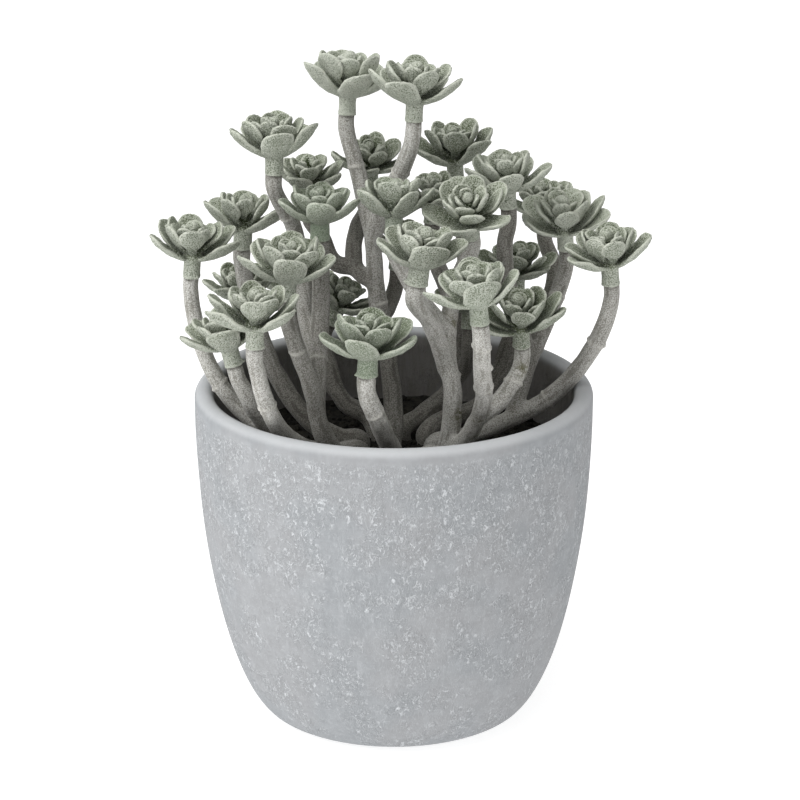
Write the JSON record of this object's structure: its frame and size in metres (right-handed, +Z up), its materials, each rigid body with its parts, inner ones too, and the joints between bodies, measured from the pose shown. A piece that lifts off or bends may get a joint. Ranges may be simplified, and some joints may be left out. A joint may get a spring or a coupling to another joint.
{
  "type": "potted artificial succulent",
  "caption": "Artificial grey-green succulent: rosettes of thick flocked petals on forked stems, set in dark soil in a round grey plaster pot.",
  "frame": {"origin": "centre of the pot's flat underside, where it stands", "axes": "+Z up along the pot's axis; the plant's front, which the picture shows, faces -Y; +X is to the right in the picture"},
  "size_m": [0.1769, 0.1469, 0.2416],
  "materials": {
    "pot_plaster": "matte",
    "soil": "matte",
    "stem_flock": "matte",
    "petal_flock": "matte"
  },
  "bodies": {
    "root": {"pot": "pot_plaster", "soil": "soil", "stem_left": "stem_flock", "stem_left_back": "stem_flock", "stem_left_front": "stem_flock", "stem_centre": "stem_flock", "stem_front": "stem_flock", "stem_front_right": "stem_flock", "stem_right": "stem_flock", "stem_right_back": "stem_flock", "stem_back": "stem_flock", "stem_mid_back": "stem_flock", "rosette_01": "petal_flock", "rosette_02": "petal_flock", "rosette_03": "petal_flock", "rosette_04": "petal_flock", "rosette_05": "petal_flock", "rosette_06": "petal_flock", "rosette_07": "petal_flock", "rosette_08": "petal_flock", "rosette_09": "petal_flock", "rosette_10": "petal_flock", "rosette_11": "petal_flock", "rosette_12": "petal_flock", "rosette_13": "petal_flock", "rosette_14": "petal_flock", "rosette_15": "petal_flock", "rosette_16": "petal_flock", "rosette_17": "petal_flock", "rosette_18": "petal_flock", "rosette_19": "petal_flock", "rosette_20": "petal_flock", "rosette_21": "petal_flock", "rosette_22": "petal_flock", "rosette_23": "petal_flock", "rosette_24": "petal_flock", "rosette_25": "petal_flock", "rosette_26": "petal_flock", "rosette_27": "petal_flock", "rosette_28": "petal_flock", "rosette_29": "petal_flock"}
  },
  "joints": []
}
